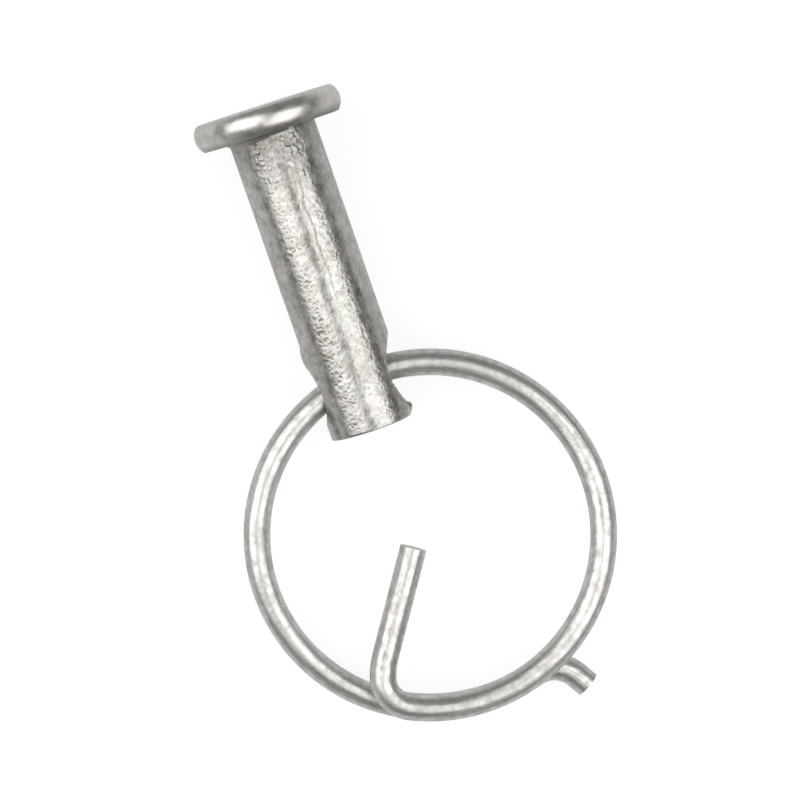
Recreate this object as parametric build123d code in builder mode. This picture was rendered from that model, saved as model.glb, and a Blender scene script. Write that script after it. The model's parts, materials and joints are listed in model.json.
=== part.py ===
from build123d import *

import os
from math import asin, atan2, cos, degrees, hypot, radians, sin, sqrt

os.makedirs("parts", exist_ok=True)

# A headed clevis pin and the round-wire ring that is threaded through its cross hole.
# The pair lies as it comes to rest: the head's rim, the pin's tip and the ring's tab are on the floor.
# Millimetres and degrees. +Z is up and +X runs along the pin, from the head to the tip.

# Pin: 5/16 in rod, headed at one end and sheared square at the other
shank_d = 7.94
grip_length = 27.85
head_d = 13.55
head_rim_bulge = 0.525
head_thickness = 2.5
head_top_round = 0.6
head_seat_round = 0.12
head_lean = 1.2
neck_round = 0.4
tip_round = 0.12

# Cross hole near the tip, pierced through with wide dished mouths
hole_to_tip = 4.15
hole_lean = 3.5
hole_slack = 0.05
right_dish_r = 4.3
right_dish_depth = 2.08
right_dish_shift = 0.25
left_dish_r = 4.3
left_dish_depth = 0.9
left_dish_shift = 0
swelling_r = 3.3
swelling_height = 0.19
swelling_shift = -3.66

# Ring: a little over one turn of wire, climbing onto itself where its ends pass each other
wire_d = 2.4
ring_r = 15.5
lower_turn_r = 15.62
turn_gap = 0.1
running_gap = 0.12
ring_yaw = 6.1
tab_angle = 11.3
flare_angle = 40
flare_r = 16.2
tab_lead = 1.1
tab_bend_r = 3.07
tab_turn = 75.4
tab_length = 1.38
lap_angle = 43.4
leg_bend_r = 2.7
leg_turn = 81.9
leg_ease_r = 8
leg_ease_turn = 15.5
leg_length = 9.9

shank_r = shank_d / 2
head_r = head_d / 2
head_face_d = head_d - 2 * head_rim_bulge
wire_r = wire_d / 2


def direction(azimuth, drop):
    """A unit vector at an azimuth from +X, pointing down by drop. Both in degrees."""
    level = cos(radians(drop))
    return Vector(level * cos(radians(azimuth)), level * sin(radians(azimuth)), -sin(radians(drop)))


def polar(radius, angle, centre=(0, 0)):
    """A point in a flat plane, at a radius and an angle in degrees from a centre."""
    return (centre[0] + radius * cos(radians(angle)), centre[1] + radius * sin(radians(angle)))


# The head's rim is an arc through the edges of its two faces, so the pin rests on that arc and on its tip.
rim_r = (head_rim_bulge**2 + (head_thickness / 2) ** 2) / (2 * head_rim_bulge)
rest_span = grip_length + head_thickness / 2
rest_step = head_r - rim_r - shank_r
pin_tilt = degrees(atan2(rest_step, rest_span) + asin(rim_r / hypot(rest_span, rest_step)))

pin_dir = direction(0, pin_tilt)
tip_centre = Vector(0, 0, shank_r * cos(radians(pin_tilt)))
seat_centre = tip_centre - pin_dir * grip_length
hole_centre = tip_centre - pin_dir * hole_to_tip

# Each dish is a ball sunk into the shank's side, over one mouth of the hole.
right_dish = hole_centre + pin_dir * right_dish_shift
right_dish += Vector(0, shank_r - right_dish_depth + right_dish_r, 0)
left_dish = hole_centre + pin_dir * left_dish_shift
left_dish -= Vector(0, shank_r - left_dish_depth + left_dish_r, 0)
dishes = ((right_dish, right_dish_r), (left_dish, left_dish_r))

# Metal pushed up beside the left mouth, on its head side: a ball whose cap stands out of the shank.
swelling = hole_centre + pin_dir * swelling_shift
swelling -= Vector(0, shank_r + swelling_height - swelling_r, 0)

with BuildPart() as clevis_pin:
    head_root = head_thickness / 2
    with BuildSketch(Plane(seat_centre - pin_dir * head_root, x_dir=(0, 1, 0), z_dir=pin_dir)):
        Circle(shank_r)
    extrude(amount=grip_length + head_root)
    fillet(clevis_pin.edges().filter_by(GeomType.CIRCLE).sort_by(Axis.X)[-1], tip_round)

    # The head leans a little sideways on the shank, as an upset head does.
    head_dir = direction(-head_lean, pin_tilt)
    head_side = Vector(0, 0, 1).cross(head_dir).normalized()
    head_plane = Plane(seat_centre, x_dir=head_dir, z_dir=-head_side)
    with BuildSketch(head_plane):
        with BuildLine():
            Polyline(
                (0, head_face_d / 2),
                (0, 0),
                (-head_thickness, 0),
                (-head_thickness, head_face_d / 2),
            )
            ThreePointArc(
                (-head_thickness, head_face_d / 2),
                (-head_thickness / 2, head_r),
                (0, head_face_d / 2),
            )
        make_face()
    revolve(axis=Axis(seat_centre, head_dir))

    seat_face = clevis_pin.faces().filter_by(lambda f: bool(f.inner_wires())).sort_by(Axis.X)[0]
    fillet(seat_face.inner_wires()[0].edges(), neck_round)
    head_rims = clevis_pin.edges().filter_by(GeomType.CIRCLE).filter_by(
        lambda e: abs(e.radius - head_face_d / 2) < 1e-3
    )
    fillet(head_rims.sort_by(Axis.X)[0], head_top_round)
    fillet(head_rims.sort_by(Axis.X)[-1], head_seat_round)

    with Locations(swelling):
        Sphere(swelling_r)

    # The hole passes the bowed wire: the bow is how far the ring's arc leaves its chord across the shank.
    bow = ring_r - sqrt(ring_r**2 - shank_r**2)
    hole_r = wire_r + bow + hole_slack
    hole_dir = Vector(-sin(radians(hole_lean)), cos(radians(hole_lean)), 0)
    with BuildSketch(Plane(hole_centre, x_dir=pin_dir, z_dir=hole_dir)):
        Circle(hole_r)
    extrude(amount=shank_d, both=True, mode=Mode.SUBTRACT)
    for dish_centre, dish_r in dishes:
        with Locations(dish_centre):
            Sphere(dish_r, mode=Mode.SUBTRACT)
clevis_pin.part.label = "clevis_pin"

# The ring hangs on the hole and comes down to the floor at its tab or at its far side.
# Its lower turn opens a little, and more before the tab, so it stays under the turn above.
lower_centre = (lower_turn_r - ring_r, 0)
flare_centre = polar(lower_turn_r - flare_r, -flare_angle, lower_centre)
tab_bend_centre = polar(flare_r + tab_bend_r, -tab_lead, flare_centre)
tab_start = polar(tab_bend_r, 180 - tab_lead - tab_turn, tab_bend_centre)
tab_end = polar(tab_length, 90 - tab_lead - tab_turn, tab_start)
tab_reach = tab_end[0] * cos(radians(tab_angle)) - tab_end[1] * sin(radians(tab_angle))
seat_offset = hole_r - wire_r - running_gap
centre_reach = ring_r - seat_offset
ring_drop = degrees(asin((hole_centre.Z - wire_r) / (centre_reach + max(tab_reach, ring_r))))

# In the ring's own frame X points at the turn's tab and Z is square to the turn.
ring_down = direction(ring_yaw, ring_drop)
ring_side = Vector(0, 0, 1).cross(ring_down).normalized()
ring_up = ring_down.cross(ring_side)
ring_centre = hole_centre + ring_down * centre_reach
to_tab = ring_down * cos(radians(tab_angle)) + ring_side * sin(radians(tab_angle))

# Half a turn climbs by one wire, in a plane tipped about the tangent at each of its ends.
climb = wire_d + turn_gap
climb_slope = asin(climb / (2 * ring_r))
climb_shift = ring_r * (1 - cos(climb_slope))
climb_x = to_tab * cos(climb_slope) + ring_up * sin(climb_slope)
climb_up = ring_up * cos(climb_slope) - to_tab * sin(climb_slope)
lower_plane = Plane(ring_centre, x_dir=to_tab, z_dir=ring_up)
climb_plane = Plane(
    ring_centre - to_tab * climb_shift + ring_up * (climb / 2), x_dir=climb_x, z_dir=climb_up
)
upper_plane = Plane(
    ring_centre - to_tab * (2 * climb_shift) + ring_up * climb, x_dir=to_tab, z_dir=ring_up
)

with BuildPart() as retaining_ring:
    with BuildLine(lower_plane) as lower_turn:
        CenterArc(lower_centre, lower_turn_r, 180, 180 - flare_angle)
        CenterArc(flare_centre, flare_r, -flare_angle, flare_angle - tab_lead)
        CenterArc(tab_bend_centre, tab_bend_r, 180 - tab_lead, -tab_turn)
        Line(tab_start, tab_end)
    with BuildLine(climb_plane) as climbing_turn:
        CenterArc((0, 0), ring_r, 0, 180)
    with BuildLine(upper_plane) as upper_turn:
        CenterArc((0, 0), ring_r, -lap_angle, lap_angle)
        leg_bend_centre = polar(ring_r - leg_bend_r, -lap_angle)
        CenterArc(leg_bend_centre, leg_bend_r, -lap_angle, -leg_turn)
        ease_start = -lap_angle - leg_turn
        ease_end = ease_start - leg_ease_turn
        leg_ease_centre = polar(leg_bend_r - leg_ease_r, ease_start, leg_bend_centre)
        CenterArc(leg_ease_centre, leg_ease_r, ease_start, -leg_ease_turn)
        leg_start = polar(leg_ease_r, ease_end, leg_ease_centre)
        Line(leg_start, polar(leg_length, ease_end - 90, leg_start))
    wire_path = Wire(lower_turn.edges() + climbing_turn.edges() + upper_turn.edges())
    with BuildSketch(Plane(wire_path @ 0, z_dir=wire_path % 0)):
        Circle(wire_r)
    sweep(path=wire_path)
retaining_ring.part.label = "retaining_ring"

# The origin is on the floor, under the middle of the pair's box.
box = Compound([clevis_pin.part, retaining_ring.part]).bounding_box()
set_down = Vector(-(box.min.X + box.max.X) / 2, -(box.min.Y + box.max.Y) / 2, -box.min.Z)
clevis_pin.part = clevis_pin.part.moved(Location(set_down))
retaining_ring.part = retaining_ring.part.moved(Location(set_down))
export_step(clevis_pin.part, "parts/clevis_pin.step")
export_step(retaining_ring.part, "parts/retaining_ring.step")

print("box", box.size, "set down by", set_down)
print("pin tilt", round(pin_tilt, 3), "ring drop", round(ring_drop, 3), "hole diameter", 2 * hole_r)
print("seat centre", seat_centre + set_down, "head axis", head_dir)
print("hole centre", hole_centre + set_down, "hinge axis", ring_side)
print("ring wire length", wire_path.length, "expected volume", wire_path.length * 3.14159265 * wire_r**2)
print("ring volume", retaining_ring.part.volume, "pin volume", clevis_pin.part.volume)
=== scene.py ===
import json
from math import asin, atan2, cos, exp, pi, radians, sin, sqrt, tan

import bpy
from mathutils import Matrix, Vector, noise


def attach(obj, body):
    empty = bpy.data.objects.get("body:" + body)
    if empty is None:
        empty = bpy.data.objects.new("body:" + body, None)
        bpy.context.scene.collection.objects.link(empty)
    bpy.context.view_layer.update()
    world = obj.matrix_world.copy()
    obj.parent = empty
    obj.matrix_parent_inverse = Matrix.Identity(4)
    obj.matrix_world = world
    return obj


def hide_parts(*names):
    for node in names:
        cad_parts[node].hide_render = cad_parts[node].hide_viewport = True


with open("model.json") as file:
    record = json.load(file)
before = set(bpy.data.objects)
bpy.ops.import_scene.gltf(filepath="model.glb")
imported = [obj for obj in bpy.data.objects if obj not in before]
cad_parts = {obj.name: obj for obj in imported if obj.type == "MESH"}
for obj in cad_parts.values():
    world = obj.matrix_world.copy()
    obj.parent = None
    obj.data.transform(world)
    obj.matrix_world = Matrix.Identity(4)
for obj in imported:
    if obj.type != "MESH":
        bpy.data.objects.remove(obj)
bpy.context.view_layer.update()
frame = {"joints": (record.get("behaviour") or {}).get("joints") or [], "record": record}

# The clevis pin: one piece of 5/16 in steel rod, upset into a round head at one end and sheared
# square at the other, with a cross hole pierced near its tip. The piercing sank a dish into each
# side and left a low swelling, and dull zinc over a pitted, creased skin covers it all.
mm = 0.001
seat_mount, shank_mount = frame["record"]["mounts"]
swing = frame["joints"][0]
seat = Vector(seat_mount["pos_m"])
head_axis = Vector(seat_mount["axis"]).normalized()
hole = Vector(swing["pos_m"])
pin_axis = (hole - seat).normalized()
pin_side = Vector((0, 1, 0))
pin_up = pin_axis.cross(pin_side)

shank_r = shank_mount["dims"]["r_mm"] * mm
grip = 27.85 * mm
neck_round = 0.4 * mm
tip_round = 0.12 * mm
head_d = 13.55 * mm
head_bulge = 0.525 * mm
head_thickness = 2.5 * mm
head_top_round = 0.6 * mm
head_seat_round = 0.12 * mm
hole_to_tip = 4.15 * mm
hole_r = 1.767 * mm
hole_lean = radians(3.5)
dish_r = 4.3 * mm
right_dish_depth = 2.08 * mm
left_dish_depth = 0.9 * mm
swelling_r = 3.3 * mm
swelling_height = 0.19 * mm

# Each form in the shank's sides is a ball: its centre along the shank and sideways, its radius,
# and whether it stands proud. The last one is a burr at the right dish's end.
hole_at = grip - hole_to_tip
dish_end = hole_at + 3.4 * mm
side_forms = (
    (hole_at - 3.66 * mm, -(shank_r + swelling_height - swelling_r), swelling_r, True),
    (hole_at + 0.25 * mm, shank_r - right_dish_depth + dish_r, dish_r, False),
    (hole_at, -(shank_r - left_dish_depth + dish_r), dish_r, False),
    (dish_end, 3.44 * mm, 0.45 * mm, True),
)

# From the dish's end to the tip the right side is rolled over, and the roll fades out to each side.
roll_slope = 0.6
roll_fade = 1.3
roll_half = radians(69)

# A drawing seam wanders along the upper side, from the neck to its end.
seam_width = 0.1 * mm
seam_end = 17 * mm

# Facets are about this long, and this many go round every turned form.
facet = 0.12 * mm
around = round(2 * pi * shank_r / facet)


def shank_radius(along, angle):
    """The shank's radius, with its neck's round, the forms in its sides and the rolled tip.

    The rolled side is never wider than the plain shank, so the neck's round stops at its edges."""
    angle = (angle + pi) % (2 * pi) - pi
    radius = shank_r
    if along < neck_round:
        radius += neck_round - sqrt(neck_round**2 - (neck_round - max(along, 0)) ** 2)
    for centre_at, centre_side, ball_r, proud in side_forms:
        middle = centre_side * cos(angle)
        inside = ball_r**2 - (along - centre_at) ** 2 - (centre_side * sin(angle)) ** 2
        if middle <= 0 or inside <= 0:
            continue
        if proud:
            radius = max(radius, middle + sqrt(inside))
        else:
            radius = min(radius, middle - sqrt(inside))
    if abs(angle) < roll_half:
        rolled = roll_slope * max(0, along - dish_end)
        radius = min(radius, shank_r - rolled * cos(roll_fade * angle) ** 2)
    return radius


def seam_share(point):
    """How near a point is to the seam, 1 on its line. The point is along, sideways and up from the seat."""
    if not 0 < point.x < seam_end:
        return 0
    line = radians(81) - radians(12) * max(0, 1 - point.x / (7 * mm))
    line += radians(5) * noise.noise(Vector((point.x * 500, 0, 0)))
    off = (atan2(point.z, point.y) - line) * shank_r / seam_width
    return min(1, point.x / (2 * mm), (seam_end - point.x) / (5 * mm)) * exp(-off * off)


def skin_depth(point):
    """How far the rolled and plated skin lies under the true form: creases, dents, slow waves and the seam.

    The last line's numbers are their depths in millimetres."""
    lengthwise = Vector((point.x * 90, point.y * 420, point.z * 420))
    crease = 1 - abs(noise.noise(lengthwise))
    dent = 0.5 + 0.5 * noise.noise(point * 900 + Vector((7, 3, 1)))
    slow = 0.5 + 0.5 * noise.noise(point * 210 + Vector((2, 9, 4)))
    return (0.008 * crease**6 + 0.012 * dent + 0.02 * slow + 0.015 * seam_share(point)) * mm


def lathe(name, origin, axis, side, rows, skin):
    """A closed turned form from rows of (along, radius), where a radius may be a function of the angle."""
    up = axis.cross(side)
    points, faces = [], []
    for along, radius in rows:
        for step in range(around):
            angle = 2 * pi * step / around
            r = radius(along, angle) if callable(radius) else radius
            points.append(Vector((along, r * cos(angle), r * sin(angle))))
    for row in range(len(rows) - 1):
        for step in range(around):
            a, b = row * around + step, row * around + (step + 1) % around
            faces.append((a, b, b + around, a + around))
    first, last = len(points), len(points) + 1
    points += [Vector((rows[0][0], 0, 0)), Vector((rows[-1][0], 0, 0))]
    top = (len(rows) - 1) * around
    for step in range(around):
        after = (step + 1) % around
        faces.append((first, after, step))
        faces.append((last, top + step, top + after))
    mesh = bpy.data.meshes.new(name)
    mesh.from_pydata([tuple(p) for p in points], [], faces)
    mesh.update()
    depths = [skin(p) for p in points]
    normals = [v.normal.copy() for v in mesh.vertices]
    for vertex, normal, depth, p in zip(mesh.vertices, normals, depths, points):
        q = p - normal * depth
        vertex.co = origin + axis * q.x + side * q.y + up * q.z
    mesh.update()
    piece = bpy.data.objects.new(name, mesh)
    bpy.context.scene.collection.objects.link(piece)
    return piece


def spread(low, high, step):
    """Even steps from low to high, each about this long, without low itself."""
    count = max(1, round(abs(high - low) / step))
    return [low + (high - low) * k / count for k in range(1, count + 1)]


def tip_ring(trim, share=1):
    """The outline at the shank's tip, less what its round trims, drawn in to a share of its radius."""
    return lambda along, angle: share * (shank_radius(grip - tip_round, angle) - trim)


shank_rows = [(-head_thickness / 2, shank_radius)]
shank_rows += [(at, shank_radius) for at in spread(-head_thickness / 2, grip - tip_round, facet)]
for turn in (30, 60, 90):
    at = grip - tip_round + tip_round * sin(radians(turn))
    shank_rows.append((at, tip_ring(tip_round * (1 - cos(radians(turn))))))
shank_rows += [(grip, tip_ring(tip_round, share)) for share in spread(1, 0.03, 2 * facet / shank_r)]
shank = lathe("clevis_pin_skin", seat, pin_axis, pin_side, shank_rows, skin_depth)

# The head's rim is one arc through the edges of its two faces, with a round at each.
rim_r = (head_bulge**2 + (head_thickness / 2) ** 2) / (2 * head_bulge)
rim_centre = (-head_thickness / 2, head_d / 2 - rim_r)
face_hub = 0.1 * mm


def rim_round(face, inward, size):
    """The centre of the round between one of the head's faces and its bulging rim."""
    at = face + inward * size
    return at, rim_centre[1] + sqrt((rim_r - size) ** 2 - (at - rim_centre[0]) ** 2)


def rim_angle(centre):
    """The angle on the rim's arc at which a round with this centre meets it."""
    return atan2(centre[1] - rim_centre[1], centre[0] - rim_centre[0])


def arc_rows(centre, radius, start, end, step):
    """Rows of the head's outline round an arc, at even steps of its angle."""
    return [(centre[0] + radius * cos(a), centre[1] + radius * sin(a)) for a in spread(start, end, step)]


top_centre = rim_round(-head_thickness, 1, head_top_round)
low_centre = rim_round(0, -1, head_seat_round)
head_rows = [(-head_thickness, r) for r in [face_hub] + spread(face_hub, top_centre[1], 2 * facet)]
head_rows += arc_rows(top_centre, head_top_round, pi, rim_angle(top_centre), 0.12)
head_rows += arc_rows(rim_centre, rim_r, rim_angle(top_centre), rim_angle(low_centre), facet / rim_r)
head_rows += arc_rows(low_centre, head_seat_round, rim_angle(low_centre), 0, 0.3)
head_rows += [(0, r) for r in spread(low_centre[1], face_hub, 2 * facet)]
head_side = Vector((0, 0, 1)).cross(head_axis).normalized()
head = lathe("pin_head", seat, head_axis, head_side, head_rows, lambda point: 0.6 * skin_depth(point))

# The piercing bit reaches this many millimetres to each side of the shank's middle.
bit_reach = 5
bit_axis = Vector((-sin(hole_lean), cos(hole_lean), 0))
bit_start = hole - bit_axis * bit_reach * mm
bit_rows = [(0, hole_r), (2 * bit_reach * mm, hole_r)]
bit = lathe("piercing", bit_start, bit_axis, pin_axis, bit_rows, lambda point: 0)

for name, operation, other in (("upset head", "UNION", head), ("cross hole", "DIFFERENCE", bit)):
    joining = shank.modifiers.new(name, "BOOLEAN")
    joining.operation = operation
    joining.object = other
    joining.solver = "MANIFOLD"
whole = bpy.data.meshes.new_from_object(shank.evaluated_get(bpy.context.evaluated_depsgraph_get()))
shank.modifiers.clear()
shank.data = whole
for used in (head, bit):
    bpy.data.objects.remove(used)
whole.name = "clevis_pin_skin"
seam = whole.attributes.new("seam", "FLOAT", "POINT")
for mark, vertex in zip(seam.data, whole.vertices):
    spot = vertex.co - seat
    mark.value = seam_share(Vector((spot.dot(pin_axis), spot.dot(pin_side), spot.dot(pin_up))))
whole.shade_smooth()
whole.set_sharp_from_angle(angle=radians(50))


class Term:
    """A node's output that takes part in sums, so that a finish or a form reads as an expression."""

    def __init__(self, sheet, socket):
        self.sheet, self.socket = sheet, socket

    def __add__(self, other):
        return self.sheet.maths("ADD", self, other)

    def __radd__(self, other):
        return self.sheet.maths("ADD", other, self)

    def __sub__(self, other):
        return self.sheet.maths("SUBTRACT", self, other)

    def __rsub__(self, other):
        return self.sheet.maths("SUBTRACT", other, self)

    def __mul__(self, other):
        return self.sheet.maths("MULTIPLY", self, other)

    def __rmul__(self, other):
        return self.sheet.maths("MULTIPLY", other, self)

    def __truediv__(self, other):
        return self.sheet.maths("DIVIDE", self, other)

    def __rtruediv__(self, other):
        return self.sheet.maths("DIVIDE", other, self)


class Sheet:
    """A node tree written out as calls. The scales of its noises are in cells to the metre."""

    def __init__(self, tree):
        self.tree = tree

    def feed(self, node, values):
        """Gives a node's sockets their values or links."""
        for name, value in values.items():
            if isinstance(value, Term):
                self.tree.links.new(value.socket, node.inputs[name])
            else:
                node.inputs[name].default_value = value

    def node(self, kind, settings=None, values=None, out=0):
        """Adds a node, sets what it is set to, then feeds it."""
        made = self.tree.nodes.new(kind)
        for name, value in (settings or {}).items():
            setattr(made, name, value)
        self.feed(made, values or {})
        return Term(self, made.outputs[out])

    def maths(self, operation, *terms):
        """One Math node."""
        return self.node("ShaderNodeMath", {"operation": operation}, dict(enumerate(terms)))

    def vectors(self, operation, *terms, out="Vector"):
        """One Vector Math node."""
        return self.node("ShaderNodeVectorMath", {"operation": operation}, dict(enumerate(terms)), out)

    def split(self, vector):
        """A vector's three numbers."""
        first = self.node("ShaderNodeSeparateXYZ", {}, {"Vector": vector})
        return [Term(self, socket) for socket in first.socket.node.outputs]

    def ramp(self, term, low, high, start=0.0, end=1.0):
        """The term, spread from low..high to start..end and held there."""
        values = {0: term, 1: low, 2: high, 3: start, 4: end}
        return self.node("ShaderNodeMapRange", {"clamp": True}, values)

    def grain(self, where, scale, detail=2.0, rough=0.5, warp=0.0, out="Fac"):
        """Plain noise at a place."""
        values = {"Vector": where, "Scale": scale, "Detail": detail, "Roughness": rough, "Distortion": warp}
        return self.node("ShaderNodeTexNoise", {}, values, out)

    def cells(self, where, scale):
        """How far a place is from the nearest of many scattered points."""
        return self.node("ShaderNodeTexVoronoi", {}, {"Vector": where, "Scale": scale, "Randomness": 1.0})

    def blend(self, share, first, second):
        """A colour between two others, which a Mix node takes at its sockets 6 and 7."""
        return self.node("ShaderNodeMix", {"data_type": "RGBA"}, {0: share, 6: first, 7: second}, out=2)

    def relief(self, height, depth):
        """A bump for a shader's normal."""
        return self.node("ShaderNodeBump", {}, {"Strength": 1.0, "Distance": depth, "Height": height})


def finish(name, metallic):
    """A new material, its sheet and its shader."""
    material = bpy.data.materials.new(name)
    material.use_nodes = True
    shader = material.node_tree.nodes["Principled BSDF"]
    shader.inputs["Metallic"].default_value = metallic
    return material, Sheet(material.node_tree), shader


head_bright = (0.77, 0.755, 0.725, 1)
head_dull = (0.54, 0.52, 0.49, 1)
shank_bright = (0.735, 0.725, 0.705, 1)
shank_dull = (0.33, 0.31, 0.28, 1)
shank_dull_by_head = (0.26, 0.245, 0.22, 1)
olive_bloom = (0.43, 0.45, 0.40, 1)
rosy_bloom = (0.54, 0.47, 0.45, 1)
speck_dark = (0.28, 0.265, 0.24, 1)
# The dark colour of dirt and painted shade in the hollows, and of painted shadow at the neck.
dirt_and_painted_shade_colour = (0.16, 0.15, 0.13, 1)

# Patterns on the pin are laid out in its own frame: along it from the seat, sideways and up.
zinc, sheet, shader = finish("dull_pitted_zinc", metallic=1.0)
pin_tilt = asin(-pin_axis.z)
turned_seat = Matrix.Rotation(-pin_tilt, 3, "Y") @ seat
pin_place = sheet.node("ShaderNodeMapping", {}, {
    "Vector": sheet.node("ShaderNodeTexCoord", out="Object"),
    "Rotation": (0, -pin_tilt, 0),
    "Location": tuple(-turned_seat),
})
from_seat, sideways, upward = sheet.split(pin_place)
on_shank = sheet.ramp(from_seat, 0.1 * mm, 0.5 * mm)
near_head = (1 - sheet.ramp(from_seat, 1.5 * mm, 6.0 * mm)) * on_shank

# The skin is roughest on the upper and lower sides, but for a smoother stripe along their middle.
pitted = sheet.ramp(sheet.maths("ABSOLUTE", upward), 0.7 * shank_r, 0.9 * shank_r, 0.3, 1.0)
off_middle = sheet.maths("ABSOLUTE", sideways + 0.03 * shank_r)
pitted = pitted * sheet.ramp(off_middle, 0.08 * shank_r, 0.2 * shank_r, 0.4, 1.0)

# Pits in two sizes, lumps with gaps between them near the head, lengthwise creases and the seam.
waver = sheet.grain(pin_place, 2400.0, detail=1.0, out="Color")
wavering_place = sheet.vectors("MULTIPLY_ADD", waver, (0.2 * mm, 0.2 * mm, 0.2 * mm), pin_place)
crowd = sheet.ramp(sheet.grain(pin_place, 450.0), 0.36, 0.56, 0.5, 1.0)
lump = sheet.cells(wavering_place, 1750.0)
pit = (1 - sheet.ramp(lump, 0.06, 0.48)) * crowd * (1 - 0.6 * near_head)
small_pit = (1 - sheet.ramp(sheet.cells(wavering_place, 3000.0), 0.04, 0.5)) * (0.5 + 0.5 * crowd)
pits = sheet.maths("MAXIMUM", pit, small_pit * 0.8) * pitted * (0.1 + 0.9 * on_shank)
lump_gaps = sheet.ramp(lump, 0.34, 0.6) * near_head * pitted
drawn_place = sheet.vectors("MULTIPLY", pin_place, (0.22, 1, 1))
creases = sheet.ramp(sheet.grain(drawn_place, 1500.0, warp=0.5), 0.3, 0.7)
seam_line = sheet.node("ShaderNodeAttribute", {"attribute_name": "seam"}, out="Fac")
skin_height = 1 - pits * 0.64 - lump_gaps * 1.3 - seam_line * 0.7
skin_height = skin_height + creases * (0.05 + (0.25 + 0.9 * near_head) * on_shank * pitted)

# Dull and bright zinc in patches, a faint bloom in two tints and dark specks. The pits, the seam and the
# gaps between the lumps are darkened, partly as dirt and partly as painted shade, and the neck gets painted
# shadow.
mottle = sheet.ramp(sheet.grain(pin_place, 1100.0, detail=4.0, rough=0.7), 0.36, 0.64) * 0.8
mottle = mottle + sheet.ramp(sheet.grain(pin_place, 260.0, detail=1.0), 0.36, 0.64) * 0.2
dull_zinc = sheet.blend(near_head * 0.5, shank_dull, shank_dull_by_head)
dull_zinc = sheet.blend(on_shank, head_dull, dull_zinc)
bright_zinc = sheet.blend(on_shank, head_bright, shank_bright)
zinc_colour = sheet.blend(mottle, dull_zinc, bright_zinc)
bloom = sheet.grain(pin_place, 560.0, detail=3.0, rough=0.6)
zinc_colour = sheet.blend((1 - sheet.ramp(bloom, 0.32, 0.5)) * 0.3, zinc_colour, olive_bloom)
zinc_colour = sheet.blend(sheet.ramp(bloom, 0.5, 0.68) * 0.3, zinc_colour, rosy_bloom)
specks = 1 - sheet.ramp(sheet.grain(pin_place, 3600.0, rough=0.6), 0.36, 0.6)
zinc_colour = sheet.blend(specks * on_shank * 0.24, zinc_colour, speck_dark)
# Painted shadow in the crease where the shank meets the head, and painted shade a few millimetres down the
# shank below the head.
neck_crease_painted_shadow = 1 - sheet.ramp(sheet.maths("ABSOLUTE", from_seat), 0.05 * mm, 0.75 * mm)
neck_shade = (1 - sheet.ramp(from_seat, 0.4 * mm, 3.2 * mm)) * on_shank
# Darker in the pits, the seam and between the lumps: partly dirt, partly painted shade.
hollow_dirt_and_painted_shade = pits * 0.45
for share in (seam_line * 0.45, neck_crease_painted_shadow * 0.8, lump_gaps * 0.6, neck_shade * 0.34):
    hollow_dirt_and_painted_shade = sheet.maths("MAXIMUM", hollow_dirt_and_painted_shade, share)
sheet.feed(shader, {
    "Base Color": sheet.blend(hollow_dirt_and_painted_shade, zinc_colour, dirt_and_painted_shade_colour),
    "Roughness": 0.27 + 0.12 * mottle + 0.1 * near_head - 0.05 * on_shank,
    "Normal": sheet.relief(skin_height, 0.036 * mm),
})
whole.materials.clear()
whole.materials.append(zinc)
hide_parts("clevis_pin")
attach(shank, "pin")

# The retaining ring: one length of 3/32 in drawn steel wire, bent over a former into a little more
# than a turn that climbs onto itself. One end kicks out as a short tab and the other is bent
# across the ring as a leg. It hangs loose in the cross hole, and its ends are sheared square.
wire_r = 1.2 * mm
turn_r = 15.5 * mm
climb = 2.5 * mm
running_gap = 0.12 * mm
tab_angle = radians(11.3)
ring_side = -Vector(swing["axis"]).normalized()

# The wire's runs from the leg's end to the tab's: a length, or a radius and the angle it turns.
bends = (
    ("Leg", 9.9 * mm, 0),
    ("Leg ease", 8 * mm, radians(15.5)),
    ("Leg bend", 2.7 * mm, radians(81.9)),
    ("Lap", turn_r, radians(43.4)),
    ("Climb", turn_r, pi),
    ("Turn", 15.62 * mm, radians(140)),
    ("Flare", 16.2 * mm, radians(38.9)),
    ("Tab bend", 3.07 * mm, radians(-75.4)),
    ("Tab", 1.38 * mm, 0),
)
climbing = [run for run, _, _ in bends].index("Climb")


def follow(spot, heading, runs):
    """Where the wire's middle line gets to after some of its runs."""
    for _, size, turn in runs:
        if not turn:
            spot += Vector((cos(heading), sin(heading))) * size
            continue
        hand = 1 if turn > 0 else -1
        middle = spot + Vector((-sin(heading), cos(heading))) * size * hand
        spot = middle + Matrix.Rotation(turn, 2) @ (spot - middle)
        heading += turn
    return spot


# The ring hangs in the hole and comes down to the floor at its tab, which sets how far it tips.
leg_heading = pi / 2 - sum(turn for _, _, turn in bends[:climbing])
leg_end = Vector((turn_r, 0)) - follow(Vector((0, 0)), leg_heading, bends[:climbing])
tab_end = follow(Vector((-turn_r, 0)), -pi / 2, bends[climbing + 1:])
hole_reach = turn_r - (hole_r - wire_r - running_gap)
tab_reach = tab_end.x * cos(tab_angle) - tab_end.y * sin(tab_angle)
ring_drop = asin((hole.z - wire_r) / (hole_reach + tab_reach))
ring_down = Vector((0, 0, -1)).cross(ring_side) * cos(ring_drop) + Vector((0, 0, -sin(ring_drop)))
ring_up = ring_down.cross(ring_side)
to_tab = ring_down * cos(tab_angle) + ring_side * sin(tab_angle)
ring_turn = Matrix((to_tab, ring_up.cross(to_tab), ring_up)).transposed().to_4x4()
ring_place = Matrix.Translation(hole + ring_down * hole_reach) @ ring_turn

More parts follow.
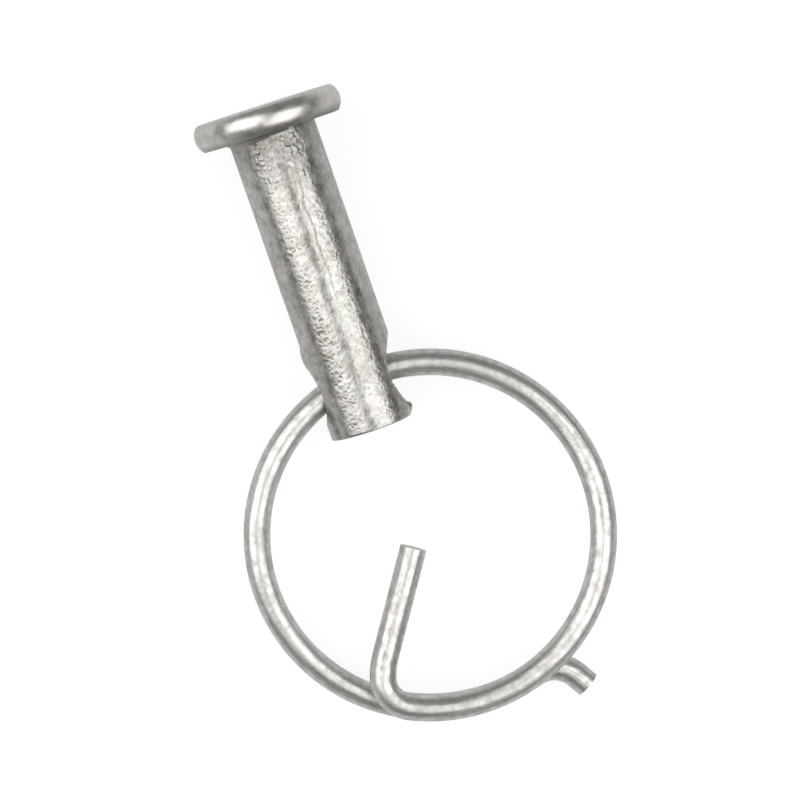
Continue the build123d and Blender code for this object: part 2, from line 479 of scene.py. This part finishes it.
# The bender's settings, which its node tree takes by name.
wire_form = bpy.data.node_groups.new("bent_wire", "GeometryNodeTree")
wire_form.interface.new_socket("Geometry", in_out="OUTPUT", socket_type="NodeSocketGeometry")
wanted = {"Wire diameter": 2 * wire_r, "Climb": climb, "Leg heading": leg_heading, "Step": 0.1 * mm}
for run, size, turn in bends:
    wanted[run + (" radius" if turn else " length")] = size
    if turn:
        wanted[run + " angle"] = turn
places = {}
for label, value in wanted.items():
    socket = wire_form.interface.new_socket(label, in_out="INPUT", socket_type="NodeSocketFloat")
    socket.default_value = value
    places[label] = socket.identifier
for label, kind in (("Leg end", "NodeSocketVector"), ("Material", "NodeSocketMaterial")):
    socket = wire_form.interface.new_socket(label, in_out="INPUT", socket_type=kind)
    places[label] = socket.identifier

# Where each run starts and stops along the wire, and how many short steps the whole of it takes.
form = Sheet(wire_form)
given = wire_form.nodes.new("NodeGroupInput")
inputs = {s.name: Term(form, s) for s in given.outputs}
total = 0.0
spans = []
for run, size, turn in bends:
    if turn:
        length = inputs[run + " radius"] * form.maths("ABSOLUTE", inputs[run + " angle"])
    else:
        length = inputs[run + " length"]
    spans.append((run, turn, total, total + length))
    total = total + length
count = form.maths("ROUND", total / inputs["Step"])
step = total / count
travelled = form.node("GeometryNodeInputIndex") * step

# The flat line adds up the steps, each with the heading at its middle, and the climb then lifts it.
ahead = travelled + 0.5 * step
heading = inputs["Leg heading"]
for run, turn, start, stop in spans:
    if turn:
        heading = heading + form.ramp(ahead, start, stop, 0.0, inputs[run + " angle"])
stride = form.node("ShaderNodeCombineXYZ", {}, {
    "X": form.maths("COSINE", heading) * step, "Y": form.maths("SINE", heading) * step})
gone = form.node("GeometryNodeAccumulateField", {"data_type": "FLOAT_VECTOR"}, {0: stride}, "Trailing")
_, _, climb_start, climb_stop = spans[climbing]
risen = form.maths("COSINE", pi * form.ramp(travelled, climb_start, climb_stop)) * 0.5 + 0.5
height = inputs["Climb"] * risen
slope = form.maths("ARCSINE", inputs["Climb"] / (2 * inputs["Climb radius"]))
lean = 1 - form.maths("COSINE", slope)
drift = height * (-2 * inputs["Climb radius"] * lean) / inputs["Climb"]
lifted = form.node("ShaderNodeCombineXYZ", {}, {"X": drift, "Z": height})
flat = form.vectors("ADD", gone, inputs["Leg end"])
line = form.node("GeometryNodeMeshLine", {}, {"Count": count + 1})
line = form.node("GeometryNodeSetPosition", {}, {
    "Geometry": line, "Position": form.vectors("ADD", flat, lifted)})
line = form.node("GeometryNodeMeshToCurve", {}, {"Mesh": line})
line = form.node("GeometryNodeStoreNamedAttribute", {"data_type": "FLOAT"}, {
    "Geometry": line, "Name": "along", "Value": travelled})

# The round section is swept along the line, and the drawn surface is worn in by a few microns.
section = form.node("GeometryNodeCurvePrimitiveCircle", {}, {
    "Resolution": 30, "Radius": inputs["Wire diameter"] * 0.5})
section = form.node("GeometryNodeStoreNamedAttribute", {"data_type": "FLOAT_VECTOR"}, {
    "Geometry": section, "Name": "section", "Value": form.node("GeometryNodeInputPosition")})
wire = form.node("GeometryNodeCurveToMesh", {}, {
    "Curve": line, "Profile Curve": section, "Fill Caps": True})
drawn = form.node("GeometryNodeInputNamedAttribute", {"data_type": "FLOAT_VECTOR"}, {"Name": "section"})
sent = form.node("GeometryNodeInputNamedAttribute", {"data_type": "FLOAT"}, {"Name": "along"})
straight = form.vectors("ADD", drawn, form.node("ShaderNodeCombineXYZ", {}, {"X": sent * 0.12}))
worn = form.grain(straight, 900.0) * (-0.008 * mm)
sunk = form.node("ShaderNodeVectorMath", {"operation": "SCALE"}, {
    0: form.node("GeometryNodeInputNormal"), "Scale": worn})
wire = form.node("GeometryNodeSetPosition", {}, {"Geometry": wire, "Offset": sunk})
wire = form.node("GeometryNodeSetShadeSmooth", {}, {"Geometry": wire})
wire = form.node("GeometryNodeRealizeInstances", {}, {"Geometry": wire})
wire = form.node("GeometryNodeSetMaterial", {}, {"Geometry": wire, "Material": inputs["Material"]})
form.feed(wire_form.nodes.new("NodeGroupOutput"), {"Geometry": wire})

wire_bright = (0.82, 0.81, 0.79, 1)
wire_dull = (0.60, 0.58, 0.55, 1)
wire_streak = (0.34, 0.325, 0.30, 1)
wire_fleck = (0.26, 0.245, 0.22, 1)

# Patterns on the wire follow it: round its section and along it, drawn out long for its streaks.
drawn_steel, sheet, shader = finish("drawn_wire", metallic=1.0)
along = sheet.node("ShaderNodeAttribute", {"attribute_name": "along"}, out="Fac")
round_wire = sheet.node("ShaderNodeAttribute", {"attribute_name": "section"}, out="Vector")
streak_place = sheet.vectors("ADD", round_wire, sheet.node("ShaderNodeCombineXYZ", {}, {"Z": along * 0.04}))
wire_place = sheet.vectors("ADD", round_wire, sheet.node("ShaderNodeCombineXYZ", {}, {"Z": along}))
lines = sheet.ramp(sheet.grain(streak_place, 4200.0, detail=3.0, rough=0.6), 0.3, 0.7)
nicks = sheet.ramp(sheet.grain(wire_place, 2600.0, detail=3.0, rough=0.6, warp=0.5), 0.4, 0.62)
dull = sheet.ramp(sheet.grain(wire_place, 1300.0, detail=3.0, rough=0.65), 0.4, 0.64)
flecks = sheet.ramp(sheet.grain(streak_place, 2300.0, detail=3.0, rough=0.65), 0.56, 0.68)
flecks = flecks * (0.3 + 0.7 * dull)
specks = 1 - sheet.ramp(sheet.grain(wire_place, 5200.0, rough=0.6), 0.36, 0.6)
steel_colour = sheet.blend(dull, wire_bright, wire_dull)
steel_colour = sheet.blend((1 - lines) * 0.3 + specks * 0.2, steel_colour, wire_streak)
wire_height = lines * 0.6 + nicks * (0.25 + 0.4 * dull) - flecks * 0.6
sheet.feed(shader, {
    "Base Color": sheet.blend(flecks * 0.6, steel_colour, wire_fleck),
    "Roughness": 0.29 + 0.08 * lines + 0.08 * dull,
    "Normal": sheet.relief(wire_height, 0.014 * mm),
})

holder = bpy.data.objects.new("retaining_ring_wire", bpy.data.meshes.new("blank"))
bpy.context.scene.collection.objects.link(holder)
bender = holder.modifiers.new("bent wire", "NODES")
bender.node_group = wire_form
for label, value in wanted.items():
    bender[places[label]] = value
bender[places["Leg end"]] = (leg_end.x, leg_end.y, 0)
bender[places["Material"]] = drawn_steel
bent = bpy.data.meshes.new_from_object(holder.evaluated_get(bpy.context.evaluated_depsgraph_get()))
holder.modifiers.clear()
bent.transform(ring_place)
bent.set_sharp_from_angle(angle=radians(50))
holder.data = bent
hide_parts("retaining_ring")
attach(holder, "ring")

# The table that the pair lies on: a plain pale sheet that looks white to the camera and is dimmer
# in what the metal mirrors, and which still takes the pair's faint shadow.
reach = 2
corners = [(-reach, -reach, 0), (reach, -reach, 0), (reach, reach, 0), (-reach, reach, 0)]
table = bpy.data.meshes.new("white_table")
table.from_pydata(corners, [], [(0, 1, 2, 3)])
table_top = bpy.data.objects.new("white_table", table)
bpy.context.scene.collection.objects.link(table_top)
white, card, shader = finish("white_card", metallic=0.0)
card.feed(shader, {"Base Color": (0.2, 0.2, 0.2, 1), "Roughness": 1.0})
brightness = card.node("ShaderNodeLightPath", out="Is Camera Ray") * 0.35 + 0.5
glow = card.node("ShaderNodeEmission", {}, {"Color": (1, 1, 1, 1), "Strength": brightness})
both = card.node("ShaderNodeAddShader", {}, {0: Term(card, shader.outputs["BSDF"]), 1: glow})
card.feed(white.node_tree.nodes["Material Output"], {"Surface": both})
table.materials.append(white)

# The studio: one wide soft lamp to the left of the camera and one to its right, and the camera
# straight above the pair. The room is dim, less so low down except on the right, and glows faintly
# straight overhead.
camera_turn = radians(70.9)
picture_right = Vector((cos(camera_turn), sin(camera_turn), 0))
picture_up = Vector((-picture_right.y, picture_right.x, 0))
lamp_distance = 0.5
for name, outward, half_width, half_height in (
    ("left_lamp", Vector((-0.195, -0.562, 0.804)), radians(27), radians(24)),
    ("right_lamp", Vector((0.29, 0.452, 0.84)), radians(24.5), radians(29)),
):
    outward.normalize()
    across = picture_up.cross(outward).normalized()
    lamp = bpy.data.lights.new(name, "AREA")
    lamp.shape = "RECTANGLE"
    lamp.size = 2 * lamp_distance * tan(half_width)
    lamp.size_y = 2 * lamp_distance * tan(half_height)
    lamp.energy = 1.45
    lamp_turn = Matrix((across, outward.cross(across), outward)).transposed().to_4x4()
    stand = bpy.data.objects.new(name, lamp)
    stand.matrix_world = Matrix.Translation(outward * lamp_distance) @ lamp_turn
    bpy.context.scene.collection.objects.link(stand)

room = bpy.data.worlds.new("dim_room")
bpy.context.scene.world = room
room.use_nodes = True
air = Sheet(room.node_tree)
facing = air.node("ShaderNodeTexCoord", out="Generated")
_, _, skyward = air.split(facing)
rightward = air.vectors("DOT_PRODUCT", facing, tuple(picture_right), out="Value")
low_light = 0.42 - air.ramp(rightward, 0.3, 0.8, 0.0, 0.22)
room_light = air.ramp(skyward, 0.0, 0.5, low_light, 0.21)
room_light = room_light + air.ramp(skyward, 0.965, 0.99, 0.0, 0.28)
to_camera = air.node("ShaderNodeLightPath", out="Is Camera Ray")
air.feed(room.node_tree.nodes["Background"], {
    "Color": (1, 1, 1, 1), "Strength": air.maths("MAXIMUM", room_light, to_camera)})

camera_over = (-0.000564, 0.001419)
camera_height = 0.330
lens = bpy.data.cameras.new("photo_camera")
lens.lens = 163.8
lens.sensor_width = 36
lens.clip_start = 0.01
camera = bpy.data.objects.new("photo_camera", lens)
bpy.context.scene.collection.objects.link(camera)
camera.location = (*camera_over, camera_height)
camera.rotation_euler = (0, 0, camera_turn)
bpy.context.scene.camera = camera
bpy.context.scene.view_settings.view_transform = "Standard"
